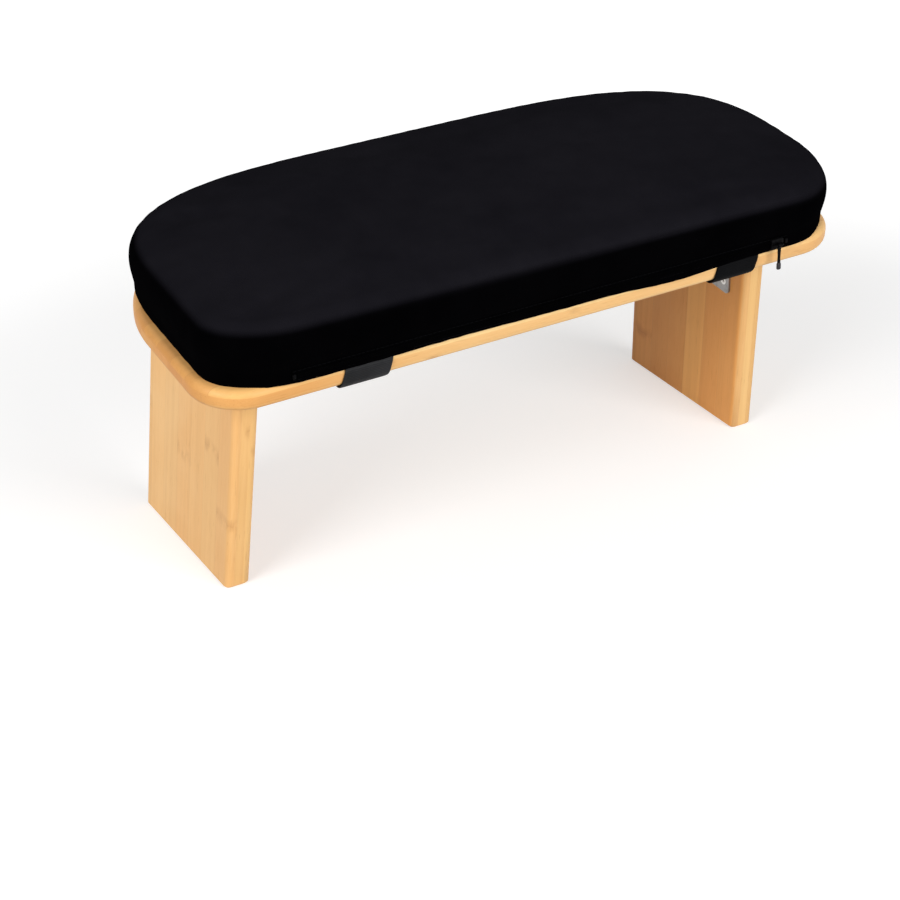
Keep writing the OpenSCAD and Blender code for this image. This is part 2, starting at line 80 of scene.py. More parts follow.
# A plan's right half and left half: half the length, the depth, then the near corner's and
# the far corner's length along X, length along Y and power of its superellipse.
PAD_PLAN = ((PAD_HALF_L, PAD_D, (53 * MM, 68 * MM, 2.1), (197 * MM, 125 * MM, 2.95)),
            (PAD_HALF_L, PAD_D, (60 * MM, 38 * MM, 2.1), (175 * MM, 112 * MM, 2.95)))
ZIP_Y = CUSHION_D / 2 - SEAM_IN
SLIDER_TOP = TAPE_T + TEETH_H + SLIDER_GAP + SLIDER_T
BAR_OUT = SLIDER_TOP + EYE_R + SLIDER_GAP


def on_seat(points):
    """Points in seat axes, turned by the seat's tilt about X and lifted to the seat."""
    return points @ SEAT_TURN.T + SEAT_MIDDLE


def on_zip(points):
    """Points along the zip, up across it and out of the cushion's side, put in their place."""
    x, up, out = points[..., 0], points[..., 1], points[..., 2]
    return on_seat(np.stack([x, -ZIP_Y - out, BOARD_T + ZIP_UP + up], -1))


# ---- finishes ----


class Value:
    """A node's output. Arithmetic on it adds Math nodes."""

    def __init__(self, shading, socket):
        self.shading = shading
        self.socket = socket

    def math(self, operation, *values):
        return self.shading.node("Math", {"operation": operation}, dict(enumerate(values)))

    def __add__(self, other):
        return self.math("ADD", self, other)

    def __sub__(self, other):
        return self.math("SUBTRACT", self, other)

    def __rsub__(self, other):
        return self.math("SUBTRACT", other, self)

    def __mul__(self, other):
        return self.math("MULTIPLY", self, other)

    def __truediv__(self, other):
        return self.math("DIVIDE", self, other)

    def __abs__(self):
        return self.math("ABSOLUTE", self)

    __radd__ = __add__
    __rmul__ = __mul__

    def floor(self):
        return self.math("FLOOR", self)

    def fraction(self):
        return self.math("FRACT", self)

    def sine(self):
        return self.math("SINE", self)

    def most(self, other):
        return self.math("MAXIMUM", self, other)


class Shading:
    """The nodes of a material or of the world, with nothing but its output."""

    def __init__(self, owner, kind):
        owner.use_nodes = True
        self.tree = owner.node_tree
        self.tree.nodes.clear()
        self.out = self.tree.nodes.new("ShaderNodeOutput" + kind).inputs[0]

    def node(self, kind, settings=None, inputs=None, output=0):
        """Any shader node: its settings first, then the values or links of its inputs."""
        made = self.tree.nodes.new("ShaderNode" + kind)
        for key, value in (settings or {}).items():
            setattr(made, key, value)
        for key, value in (inputs or {}).items():
            self.feed(made.inputs[key], value)
        return Value(self, made.outputs[output])

    def feed(self, socket, value):
        if isinstance(value, Value):
            self.tree.links.new(value.socket, socket)
        else:
            socket.default_value = value

    def seen(self):
        """1 for what the camera sees, also by reflection or through glass, else 0."""
        camera, glossy, through = (self.node("LightPath", output=f"Is {ray} Ray")
                                   for ray in ("Camera", "Glossy", "Transmission"))
        return camera.most(glossy).most(through)

    def place(self, kind="Object"):
        return self.node("TexCoord", output=kind)

    def split(self, vector):
        return [self.node("SeparateXYZ", None, {0: vector}, i) for i in range(3)]

    def join(self, x, y, z=0.0):
        return self.node("CombineXYZ", None, {0: x, 1: y, 2: z})

    def noise(self, vector, scale, detail=3.0, roughness=0.55):
        return self.node("TexNoise", None, {"Vector": vector, "Scale": scale, "Detail": detail,
                                            "Roughness": roughness})

    def chance(self, seed):
        """A random number from 0 to 1 for each whole seed."""
        return self.node("TexWhiteNoise", {"noise_dimensions": "1D"}, {"W": seed})

    def step(self, value, low, high, start=0.0, end=1.0):
        """A smooth step of value between low and high."""
        return self.node("MapRange", {"interpolation_type": "SMOOTHSTEP"},
                         {"Value": value, "From Min": low, "From Max": high,
                          "To Min": start, "To Max": end})

    def mix(self, share, first, second):
        """A colour between two, by share."""
        return self.node("Mix", {"data_type": "RGBA"}, {0: share, 6: first, 7: second}, 2)

    def tinted(self, share, colour, factors):
        """A colour times some factors, by share."""
        product = self.node("VectorMath", {"operation": "MULTIPLY"}, {0: colour, 1: factors})
        return self.mix(share, colour, product)


class Finish(Shading):
    """A material with one Principled shader."""

    def __init__(self, name, **constants):
        self.material = bpy.data.materials.new(name)
        super().__init__(self.material, "Material")
        self.shader = self.tree.nodes.new("ShaderNodeBsdfPrincipled")
        self.tree.links.new(self.shader.outputs[0], self.out)
        for key, value in constants.items():
            self.set(key.replace("_", " "), value)

    def set(self, name, value):
        self.feed(self.shader.inputs[name], value)

    def bump(self, height, distance, strength=1.0):
        self.set("Normal", self.node("Bump", None, {"Strength": strength, "Distance": distance,
                                                    "Height": height}))


def tint(red, green, blue):
    return (red, green, blue, 1.0)


STRIP_W, PLY_T, KNUCKLE_GAP = 21 * MM, 5.7 * MM, 330 * MM


def bamboo(name, middle, turn, order, seed, inner=0):
    """Glued bamboo: strips side by side in plies, each with its own tone, long fibres, dark
    flecks, and a smudged knuckle now and then. order says which axis runs along the grain,
    across the strips and through the plies. inner says on which side of a leg the other leg
    stands; that face gets painted shade: darker and redder, and darker still towards its rear.
    The seat is yellower towards its ends, the left one most. End grain, where the mesh marks
    it, is dark too."""
    f = Finish(name, Coat_Weight=0.06, Coat_Roughness=0.32, Specular_IOR_Level=0.22)
    own = f.node("Mapping", {"vector_type": "TEXTURE"},
                 {"Vector": f.place(), "Location": middle, "Rotation": turn})
    parts = f.split(own)
    along, across, through = (parts[i] for i in order)
    ply = ((through / PLY_T) + 0.5).floor()
    wander = (f.noise(f.join(along, ply, seed), 9.0, 1.0) - 0.5) * 0.05
    strip = across / STRIP_W + f.chance(ply + seed) + wander
    number = strip.floor() + ply * 17.0 + seed
    tone = f.chance(number)
    warm = f.chance(number + 0.37)

    knuckle = ((along / KNUCKLE_GAP + f.chance(number + 0.71)).fraction() - 0.5) * KNUCKLE_GAP
    frayed = f.noise(f.join(along * 60.0, across * 150.0 + number, through * 150.0), 1.0, 3.0)
    knuckle = knuckle + (frayed - 0.5) * 0.012
    smudge = f.step(abs(knuckle), 1.0 * MM, 8 * MM, 1.0, 0.0) * f.step(frayed, 0.35, 0.6)
    line = f.step(abs(knuckle), 0.2 * MM, 1.1 * MM, 1.0, 0.0) * f.step(frayed, 0.45, 0.6)
    joint = f.step(abs(strip.fraction() - 0.5), 0.486, 0.499)

    fibre = f.noise(f.join(along * 55.0, across * 2100.0 + number * 3.1, through * 2100.0),
                    1.0, 3.0, 0.6)
    streak = f.noise(f.join(along * 5.0 + number, across * 260.0, through * 260.0), 1.0, 3.0)
    band = f.noise(f.join(along * 2.0 + number, across * 90.0, through * 90.0), 1.0, 2.0)
    fleck = f.step(f.noise(f.join(along * 70.0, across * 900.0, through * 900.0), 1.0, 2.0),
                   0.62, 0.74)
    cloud = f.noise(own, 14.0, 2.0)

    colour = f.mix(tone, tint(0.70, 0.405, 0.155), tint(0.87, 0.56, 0.225))
    colour = f.mix(warm * 0.5, colour, tint(0.80, 0.40, 0.13))
    colour = f.mix(f.step(band, 0.4, 0.7) * 0.22, colour, tint(0.70, 0.37, 0.13))
    colour = f.mix(f.step(streak, 0.35, 0.75) * 0.30, colour, tint(0.64, 0.33, 0.11))
    colour = f.mix(f.step(cloud, 0.45, 0.75) * 0.18, colour, tint(0.92, 0.64, 0.32))
    colour = f.mix(f.step(fibre, 0.3, 0.7) * 0.14, colour, tint(0.95, 0.68, 0.37))
    colour = f.mix(fleck * 0.20, colour, tint(0.40, 0.17, 0.05))
    colour = f.mix(smudge * 0.30 + line * 0.12, colour, tint(0.42, 0.18, 0.055))
    colour = f.mix(joint * 0.24, colour, tint(0.42, 0.20, 0.07))
    end = f.node("Attribute", {"attribute_name": "end"}, output=2)
    colour = f.tinted(end, colour, (0.88, 0.76, 0.58))
    if inner:
        colour = f.tinted(ply * 0.5 + 0.5, colour, (0.93, 0.90, 0.86))
        # Painted shade: the face towards the other leg, round into its rounded edges, is tinted
        # darker and redder, and darker still towards its rear, as if shaded by the seat.
        depth = through * -inner + LEG_T / 2
        back = f.step(across, -LEG_W / 2, LEG_W / 2)
        face = f.step(depth, 0.2 * MM, 1.6 * MM, 1.0, 0.0)
        colour = f.tinted(face, colour, (1.10, 0.90, 0.66))
        colour = f.tinted(face * back, colour, (0.82, 0.76, 0.74))
    else:
        left = f.step(along, -190 * MM, -60 * MM, 1.0, 0.0)
        right = f.step(along, 110 * MM, 215 * MM) * 0.45
        colour = f.tinted(1 - left - right, colour, (0.99, 1.05, 1.12))
        colour = f.tinted(left + right, colour, (0.88, 0.78, 0.64))
    f.set("Base Color", colour)
    f.set("Roughness", 0.42 + fibre * 0.16 + fleck * 0.08)
    f.bump(fibre * 0.35 + streak * 0.2 - joint * 0.7 + smudge * 0.4 - fleck * 0.3, 0.12 * MM)
    return f.material


def knit_cloth(name):
    """Matt black knit with a short nap: ribs along the cloth, V-shaped loops on them. The
    top panel is painted paler than the side: painted light on the top, painted shade on the side."""
    f = Finish(name, Specular_IOR_Level=0.0, Sheen_Weight=0.004, Sheen_Roughness=0.5,
               Sheen_Tint=tint(0.92, 0.90, 1.0))
    u, v, _ = f.split(f.place("UV"))
    rib = abs((u / (1.15 * MM)).fraction() - 0.5) * 2.0
    loop = ((v / (0.9 * MM) + rib * 0.7) * math.tau).sine()
    nap = f.noise(f.place(), 2600.0, 2.0)
    brushed = f.noise(f.place(), 11.0, 3.0)
    fine = f.noise(f.place(), 60.0, 2.0)
    weave = rib * 0.6 + loop * 0.2 * rib + nap * 0.5
    shade = f.step(brushed * 0.6 + fine * 0.25 + weave * 0.15, 0.2, 0.8)
    # Painted light: where top is 1 the cloth is painted as lit from above, where it is 0 as the
    # shaded side.
    top = f.step(f.node("Attribute", {"attribute_name": "top"}, output=2), 0.0, 1.0)
    shaded_side_black = f.mix(shade, tint(0.0002, 0.0002, 0.0003), tint(0.0011, 0.0010, 0.0013))
    lit_top_black = f.mix(shade, tint(0.0056, 0.0053, 0.0073), tint(0.0104, 0.0098, 0.0127))
    f.set("Base Color", f.mix(top, shaded_side_black, lit_top_black))
    f.set("Roughness", 0.86 + nap * 0.12)
    f.bump(weave, 0.16 * MM, 0.7)
    return f.material


def webbing(name, deep, light, roughness, rib, specular):
    """Flat woven band: ribs across it, a finer slanted weave on them, plain edges."""
    f = Finish(name, Specular_IOR_Level=specular)
    u, v, _ = f.split(f.place("UV"))
    ribs = (v / rib * math.tau).sine()
    slant = ((u / (rib * 0.8) + v / (rib * 2.0)) * math.tau).sine()
    worn = f.noise(f.place(), 45.0, 3.0)
    thread = f.noise(f.place(), 1900.0, 1.0)
    weave = ribs * 0.3 + slant * 0.25 + thread * 0.4
    f.set("Base Color", f.mix(f.step(worn * 0.7 + weave * 0.3, 0.1, 0.8), deep, light))
    f.set("Roughness", roughness + worn * 0.14 - ribs * 0.03)
    f.bump(weave, 0.12 * MM, 0.8)
    return f.material


def metal(name, colour, dark, roughness):
    """Plated steel: faint drawn lines, fine scratches and duller spots."""
    f = Finish(name, Metallic=1.0)
    x, y, z = f.split(f.place())
    drawn = f.noise(f.join(x * 90.0, y * 4200.0, z * 900.0), 1.0, 3.0)
    spots = f.noise(f.place(), 240.0, 4.0, 0.65)
    scratch = f.step(abs(f.noise(f.join(x * 700.0, y * 160.0, z * 700.0), 1.0, 2.0) - 0.5),
                     0.0, 0.012, 1.0, 0.0)
    f.set("Base Color", f.mix(f.step(spots, 0.4, 0.75) * 0.6 + drawn * 0.2, colour, dark))
    f.set("Roughness", roughness + spots * 0.16 + scratch * 0.15)
    f.bump(drawn * 0.3 - scratch * 0.4 + spots * 0.2, 0.03 * MM, 0.6)
    return f.material


def leg_turn(side):
    """A leg's axes in the frame: its lean about X, then its splay about Y, then the seat's
    tilt about X. The left leg's splay is the right one's mirrored."""
    return (Matrix.Rotation(SEAT_TILT, 3, "X") @ Matrix.Rotation(-side * LEG_SPLAY, 3, "Y")
            @ Matrix.Rotation(LEG_LEAN, 3, "X"))


def leg_middle(side):
    """The middle of a leg's top, half way through it."""
    top = np.array([[side * LEG_GAP / 2, LEG_Y, 0.0]])
    through = np.array(leg_turn(side)) @ np.array([side * LEG_T / 2, 0.0, 0.0])
    return on_seat(top)[0] + through


ALONG_X, ALONG_Z = (0, 1, 2), (2, 1, 0)
board_middle = on_seat(np.array([0.0, 0.0, BOARD_T / 2]))
SEAT_BAMBOO = bamboo("bamboo_seat", board_middle, (SEAT_TILT, 0, 0), ALONG_X, 3.0)
LEG_BAMBOO = {side: bamboo(f"bamboo_leg_{name}", leg_middle(side),
                           leg_turn(side).to_euler(), ALONG_Z, seed, inner=-side)
              for side, name, seed in ((-1, "left", 40.0), (1, "right", 80.0))}
COVER_CLOTH = knit_cloth("cover_cloth")
# Lit and shaded copies of one webbing: the second is painted darker and less glossy, as painted
# shade.
LIT_WEB = webbing("strap_webbing_painted_lit", tint(0.0045, 0.0047, 0.0053),
                     tint(0.022, 0.0225, 0.0255), 0.45, 1.1 * MM, 0.12)
SHADED_WEB = webbing("strap_webbing_painted_shade", tint(0.0008, 0.0008, 0.0010),
                    tint(0.0040, 0.0041, 0.0048), 0.5, 1.1 * MM, 0.03)
HOOK_TAPE = webbing("hook_tape", tint(0.004, 0.004, 0.004), tint(0.016, 0.016, 0.017),
                    0.7, 0.7 * MM, 0.1)
ZIP_TAPE = webbing("zip_tape", tint(0.0003, 0.0003, 0.0004), tint(0.0014, 0.0014, 0.0017),
                   0.8, 0.8 * MM, 0.0)
HINGE_STEEL = metal("hinge_steel", tint(0.34, 0.33, 0.32), tint(0.20, 0.195, 0.19), 0.34)
SCREW_STEEL = metal("screw_steel", tint(0.78, 0.77, 0.74), tint(0.52, 0.51, 0.49), 0.22)
PULL_METAL = metal("pull_metal", tint(0.040, 0.038, 0.042), tint(0.024, 0.024, 0.027), 0.42)


def thread_finish(name):
    """Twisted sewing thread."""
    f = Finish(name, Specular_IOR_Level=0.0)
    twist = f.noise(f.place(), 1500.0, 2.0)
    f.set("Base Color", f.mix(twist, tint(0.002, 0.002, 0.0025), tint(0.009, 0.009, 0.010)))
    f.set("Roughness", 0.6 + twist * 0.2)
    return f.material


def black_coat(name, specular, roughness, worn):
    """Black nylon or enamel: cloudy, with small rubbed spots of the worn colour."""
    f = Finish(name, Specular_IOR_Level=specular)
    cloud = f.noise(f.place(), 300.0, 2.0)
    rubbed = f.step(f.noise(f.place(), 700.0, 3.0), 0.62, 0.75)
    colour = f.mix(cloud, tint(0.0008, 0.0008, 0.0008), tint(0.0025, 0.0025, 0.003))
    f.set("Base Color", f.mix(rubbed, colour, worn))
    f.set("Roughness", roughness + cloud * 0.2)
    f.bump(cloud, 0.02 * MM)
    return f.material


THREAD = thread_finish("thread")
ZIP_COIL = black_coat("zip_coil", 0.0, 0.5, tint(0.002, 0.002, 0.0022))
ZIP_METAL = black_coat("zip_metal", 0.03, 0.35, tint(0.008, 0.008, 0.009))


# ---- meshes ----


def linked(name, data):
    """A new object in the scene."""
    made = bpy.data.objects.new(name, data)
    bpy.context.scene.collection.objects.link(made)
    return made


def piece(name, points, faces, finish, body, uv=None, sharp=40):
    """A mesh object at the origin from an (n, 3) array, faces, and corner UVs in metres."""
    mesh = bpy.data.meshes.new(name)
    mesh.from_pydata(points.tolist(), [], [list(map(int, f)) for f in faces])
    if uv is not None:
        layer = mesh.uv_layers.new(name="cloth")
        layer.data.foreach_set("uv", np.asarray(uv, np.float32).ravel())
    mesh.shade_smooth()
    mesh.set_sharp_from_angle(angle=math.radians(sharp))
    mesh.materials.append(finish)
    made = linked(name, mesh)
    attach(made, body)
    return made


def read(vertices, name):
    """A vector of each vertex, such as its place, as an (n, 3) array."""
    values = np.zeros(len(vertices) * 3)
    vertices.foreach_get(name, values)
    return values.reshape(-1, 3)


def mark(made, name, values):
    """A number at each point of a piece, for a finish or a later step to read."""
    made.data.attributes.new(name, "FLOAT", "POINT").data.foreach_set("value", values)


def corners(grid):
    """For each cell of a grid, its four corners' values, anticlockwise seen from outside."""
    cells = np.stack([grid[:-1, :-1], grid[:-1, 1:], grid[1:, 1:], grid[1:, :-1]], 2)
    return cells.reshape(-1, 4, *grid.shape[2:])


def rim(grid):
    """The border of a grid, once round and anticlockwise."""
    return np.concatenate([grid[0, :-1], grid[:-1, -1], grid[-1, :0:-1], grid[:0:-1, 0]])


def rounded(length, depth, near_r, far_r):
    """A plan with circular corners, the same at both ends."""
    half = (length / 2, depth, (near_r, near_r, 2), (far_r, far_r, 2))
    return half, half


def outline(half_plan, inset):
    """One half of a plan's rim, from the middle of its near edge to the middle of its far
    edge. Each corner is a quarter of a superellipse: a power of the sine of a turn along x,
    one less the same power of its cosine along y. An inset shrinks the corners and moves
    the edges in."""
    half, depth, (near_x, near_y, near_power), (far_x, far_y, far_power) = half_plan
    turn = np.linspace(0, math.pi / 2, CORNER_STEPS)
    sine, cosine = np.sin(turn), np.cos(turn)
    near, far = 2 / near_power, 2 / far_power
    x = np.concatenate([[0], half - near_x + (near_x - inset) * sine ** near,
                        half - far_x + (far_x - inset) * cosine ** far, [0]])
    y = np.concatenate([[inset], inset + (near_y - inset) * (1 - cosine ** near),
                        depth - inset - (far_y - inset) * (1 - sine ** far), [depth - inset]])
    return np.stack([x, y - depth / 2], -1)


def travelled(path):
    """The distance from a path's start to each of its points."""
    return np.concatenate([[0], np.cumsum(np.linalg.norm(np.diff(path, axis=0), axis=1))])


def heading(path):
    """The direction of a path at each of its points, of length 1."""
    run = np.gradient(path, axis=0)
    return run / np.linalg.norm(run, axis=1, keepdims=True)


def half_rim(half_plan, inset, share):
    """Points a share of the way along a half rim. The share is measured without the inset."""
    gone = travelled(outline(half_plan, 0))
    moved = outline(half_plan, inset)
    return np.stack([np.interp(share * gone[-1], gone, moved[:, i]) for i in (0, 1)], -1)


def rim_grid(plan, inset, across, along):
    """The rim as the border of a grid of points, whose corners lie half way round the
    plan's corners. The grid is empty inside. A plan is its right half and its left half."""
    grid = np.zeros((along + 1, across + 1, 2))
    middle = across // 2
    for half_plan, columns, side in ((plan[0], slice(middle, None), 1),
                                     (plan[1], slice(middle, None, -1), -1)):
        gone = travelled(outline(half_plan, 0))
        low, high = gone[[CORNER_STEPS // 2, CORNER_STEPS + CORNER_STEPS // 2]] / gone[-1]
        mirror = [side, 1]
        grid[0, columns] = mirror * half_rim(half_plan, inset, np.linspace(0, low, middle + 1))
        grid[-1, columns] = mirror * half_rim(half_plan, inset, np.linspace(1, high, middle + 1))
        grid[:, min(0, -side)] = mirror * half_rim(half_plan, inset,
                                                   np.linspace(low, high, along + 1))
    return grid


def cap_grid(plan, inset, across, along):
    """The rim grid filled in: every inner point is the mean of its four neighbours."""
    grid = rim_grid(plan, inset, across, along)
    v = np.linspace(0, 1, along + 1)[1:-1, None, None]
    grid[1:-1, 1:-1] = (grid[0] * (1 - v) + grid[-1] * v)[:, 1:-1]
    for _ in range(CAP_SWEEPS):
        grid[1:-1, 1:-1] = (grid[:-2, 1:-1] + grid[2:, 1:-1]
                            + grid[1:-1, :-2] + grid[1:-1, 2:]) / 4
    return grid


def plate(plan, insets, across, along):
    """A closed form on a rounded plan: a bottom cap, a ring for each inset, a top cap.
    Gives each point's x and y, each point's ring, the faces, and the wall's point numbers
    as a grid of rings by places round the rim."""
    bottom = cap_grid(plan, insets[0], across, along)
    top = cap_grid(plan, insets[-1], across, along)
    between = [rim(rim_grid(plan, inset, across, along)) for inset in insets[1:-1]]
    count = bottom.shape[0] * bottom.shape[1]
    index = np.arange(count).reshape(bottom.shape[:2])
    loop = len(rim(index))
    top_index = index + count + loop * len(between)
    rings = [rim(index), *(count + k * loop + np.arange(loop) for k in range(len(between))),
             rim(top_index)]
    wall = np.array([np.append(ring, ring[0]) for ring in rings])
    points = np.concatenate([bottom.reshape(-1, 2), *between, top.reshape(-1, 2)])
    level = np.repeat(np.arange(len(insets)), [count, *[loop] * len(between), count])
    faces = np.concatenate([corners(index)[:, ::-1], corners(wall), corners(top_index)])
    return points, level, faces, wall


def carried(path, across, up, section, closed=False):
    """A section carried along a path: point = path + across * section x + up * section y.
    The section is closed; the path's ends get a flat cap, or meet where it is closed."""
    across, up = np.broadcast_to(across, path.shape), np.broadcast_to(up, path.shape)
    section = np.broadcast_to(section, (len(path), *section.shape[-2:]))
    run = np.gradient(path, axis=0)
    if np.einsum("ij,ij->", np.cross(across, up), run) < 0:
        section = section[:, ::-1]
    points = (path[:, None] + across[:, None] * section[..., :1] + up[:, None] * section[..., 1:])
    n, m = points.shape[:2]
    index = np.arange(n * m).reshape(n, m)
    wrapped = np.concatenate([index, index[:, :1]], 1)
    if closed:
        wrapped = np.concatenate([wrapped, wrapped[:1]])
    faces = corners(wrapped).tolist()
    if not closed:
        faces += [index[0, ::-1].tolist(), index[-1].tolist()]
    return points.reshape(-1, 3), faces


def superellipse(width, height, power, count):
    """A closed section: x and y are powers of cosine and sine, so that power 1 is an
    ellipse and smaller powers are boxes with round corners."""
    turn = np.arange(count) / count * math.tau + math.pi / count
    c, s = np.cos(turn), np.sin(turn)
    return np.stack([width / 2 * np.sign(c) * abs(c) ** power,
                     height / 2 * np.sign(s) * abs(s) ** power], -1)


def together(*parts):
    """Several closed forms as one mesh."""
    points, faces, start = [], [], 0
    for part_points, part_faces in parts:
        points.append(part_points)
        faces += [[i + start for i in face] for face in part_faces]
        start += len(part_points)
    return np.concatenate(points), faces


def repeated(form, middles, axes):
    """A form set down at each middle, its own x, y and z along each set of axes."""
    points, faces = form
    placed = middles[:, None] + np.einsum("kj,njc->nkc", points, axes)
    steps = np.arange(len(middles)) * len(points)
    every = [[i + step for i in face] for step in steps.tolist() for face in faces]
    return placed.reshape(-1, 3), every


BOARD_CELLS = (110, 64)
LEG_CELLS = (112, 14)


def bamboo_board():
    """The seat: a rounded plan whose edge is a quarter circle, a straight and another
    quarter circle. Its edge shows more end grain the more it looks along X."""
    plan = rounded(BOARD_L, BOARD_D, BOARD_NEAR_R, BOARD_FAR_R)
    turn = np.radians(np.linspace(0, 90, 7))
    inset = BOARD_EDGE_R * (1 - np.sin(turn))
    rise = BOARD_EDGE_R * (1 - np.cos(turn))
    insets = np.concatenate([inset, inset[::-1]])
    heights = np.concatenate([rise, BOARD_T - rise[::-1]])
    xy, level, faces, wall = plate(plan, insets, *BOARD_CELLS)
    points = on_seat(np.column_stack([xy, heights[level]]))
    made = piece("bamboo_seat_board", points, faces, SEAT_BAMBOO, "seat")
    edge, edge_inside = (rim(rim_grid(plan, inward, *BOARD_CELLS)) for inward in (0, MM))
    outward = (edge - edge_inside) / MM
    end = np.zeros(len(points))
    facing = outward[:, 0] ** 2 * (1 - abs(outward[:, 1]))
    up_the_edge = np.linspace(0, math.pi, len(wall))
    end[wall[:, :-1]] = facing * np.sin(up_the_edge)[:, None]
    mark(made, "end", end)
    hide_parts("seat_board")


def bamboo_leg(side, name):
    """A leg: a rounded section swept down its own axis. Each point's top lies in the seat's
    underside and its foot on the ground, with a small chamfer round the foot."""
    plan = rounded(LEG_W * math.cos(LEG_LEAN), LEG_T, LEG_EDGE_R, LEG_EDGE_R)
    insets = np.array([FOOT_CHAMFER, 0, 0, 0, 0, 0])
    xy, level, faces, _ = plate(plan, insets, *LEG_CELLS)
    turn = np.array(leg_turn(side))
    section = np.column_stack([side * (xy[:, 1] + LEG_T / 2), -side * xy[:, 0], 0 * xy[:, 0]])
    start = on_seat(np.array([side * LEG_GAP / 2, LEG_Y, 0.0])) + section @ turn.T
    down = -turn[:, 2]
    seat_up = SEAT_TURN[:, 2]
    to_seat = ((SEAT_MIDDLE - start) @ seat_up) / (down @ seat_up)
    to_ground = -start[:, 2] / down[2]
    rise = np.array([0, FOOT_CHAMFER_RISE, 0, 0, 0, 0])
    share = np.array([1, 1, 0.75, 0.5, 0.25, 0])
    run = to_seat + (to_ground - to_seat) * share[level] - rise[level]
    points = start + run[:, None] * down
    made = piece(f"bamboo_leg_{name}", points, faces, LEG_BAMBOO[side], f"{name}_leg")
    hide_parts(f"{name}_leg")


bamboo_board()
bamboo_leg(-1, "left")
bamboo_leg(1, "right")


# ---- the cushion ----

BULGE = np.array([(0.1, 0.15), (0.017, 0.33), (0, 0.48), (0.067, 0.65), (0.25, 0.8),
                  (0.54, 0.915), (1, 1)])
SEAM_SHARE = 0.8
BAND_RING = 7
PAD_CELLS = (104, 62)
SMOOTHINGS = 90
ZIP_RECESS, RECESS_FROM, RECESS_RUN = 0.8 * MM, 85 * MM, 12 * MM
UNDERSIDE_AWAY, TOP_AWAY = 20 * MM, 30 * MM
HANG, HANG_ACROSS = 1.9 * MM, (70 * MM, 95 * MM)
HANG_BUMPS = ((2.6 * MM, 88 * MM, 32 * MM), (-0.8 * MM, -70 * MM, 35 * MM))
HANG_BY_RING = (0, 0.6, 1, 1, 1, 0.65, 0.3)
PRESSURE, SWELL_FRAMES, SWELL_MOST, SWELL_INWARD = 4.0, 20, 2.5 * MM, 0.2
SEAM_DEEP, SEAM_WIDE = 0.6 * MM, 1.2 * MM
PUCKER, PUCKER_FADE, PUCKER_WAVES = 0.10 * MM, 9 * MM, 24
# Painted light: how wide the change from the lit top colour to the shaded side colour is, and how
# it slants along X.
PAINTED_LIGHT_EDGE, PAINTED_LIGHT_SLANT = 7 * MM, 1.8 / 150


def cushion_profile():
    """Inset and height of the cushion's side, a row for each ring from its underside up:
    a small round, the upright band, then a bulge that turns in to the shoulder, smoothed by
    averaging over a short run. Also each ring's distance along the side."""
    foot = np.array([(5, 0), (3.4, 0.04), (2.6, 0.3), (2.1, 0.9), (2, 1.7)]) * MM
    side = BULGE * [SHOULDER_IN, CUSHION_H - BAND_H] + [0, BAND_H]
    band = np.array([(SEAM_IN, 4 * MM), (SEAM_IN, 6.5 * MM), (SEAM_IN, BAND_H)])
    knots = np.concatenate([foot, band, side])
    gone = travelled(knots)
    fine = np.linspace(0, gone[-1], 400)
    dense = np.stack([np.interp(fine, gone, knots[:, i]) for i in (0, 1)], -1)
    smooth = dense.copy()
    for _ in range(SMOOTHINGS):
        smooth[1:-1] = (smooth[:-2] + 2 * smooth[1:-1] + smooth[2:]) / 4
    keep = np.clip((fine - gone[BAND_RING]) / (4 * MM), 0, 1)[:, None]
    dense = dense * (1 - keep) + smooth * keep
    above = np.array([3, 6, 9, 12, 15, 18, 20.5]) * MM + gone[BAND_RING]
    seam = np.interp(BAND_H + SEAM_SHARE * (CUSHION_H - BAND_H), dense[60:, 1], fine[60:])
    rings = np.concatenate([gone[:BAND_RING + 1], above[above < seam - 2 * MM],
                            seam + np.array([-1.3, 0, 1.3, 3.2, 5.6]) * MM, [gone[-1]]])
    return np.stack([np.interp(rings, fine, dense[:, i]) for i in (0, 1)], -1), rings, seam


def swell(made, pinned):
    """The piece as cloth under an even pressure from inside, with some points held. Moves
    inward count for a share, and a hyperbolic tangent keeps every move under SWELL_MOST."""
    mesh = made.data
    rest, normals = read(mesh.vertices, "co"), read(mesh.vertices, "normal")
    group = made.vertex_groups.new(name="held")
    group.add(np.flatnonzero(pinned).tolist(), 1.0, "REPLACE")
    cloth = made.modifiers.new("cloth", "CLOTH")
    settings = cloth.settings
    settings.quality = 6
    settings.mass = 0.25
    settings.tension_stiffness = settings.compression_stiffness = 60
    settings.shear_stiffness = 30
    settings.bending_stiffness = 6
    settings.shrink_min = 0.0
    settings.use_pressure = True
    settings.uniform_pressure_force = PRESSURE
    settings.effector_weights.gravity = 0
    settings.vertex_group_mass = "held"
    cloth.point_cache.frame_end = SWELL_FRAMES
    scene = bpy.context.scene
    for frame_number in range(1, SWELL_FRAMES + 1):
        scene.frame_set(frame_number)
    swollen = made.evaluated_get(bpy.context.evaluated_depsgraph_get()).to_mesh()
    move = read(swollen.vertices, "co") - rest
    outward = (move * normals).sum(1)
    move *= np.where(outward < 0, SWELL_INWARD, 1)[:, None]
    length = np.linalg.norm(move, axis=1, keepdims=True) + 1e-12
    made.modifiers.clear()
    made.vertex_groups.clear()
    scene.frame_set(1)
    kept = SWELL_MOST * np.tanh(length / SWELL_MOST)
    mesh.vertices.foreach_set("co", (rest + move * kept / length).ravel())
    mesh.update()


def refined(made):
    """The piece's mesh subdivided once, for good."""
    smooth = made.modifiers.new("smooth", "SUBSURF")
    smooth.levels = smooth.render_levels = 1
    mesh = bpy.data.meshes.new_from_object(
        made.evaluated_get(bpy.context.evaluated_depsgraph_get()))
    made.modifiers.clear()
    made.data = mesh
    return mesh


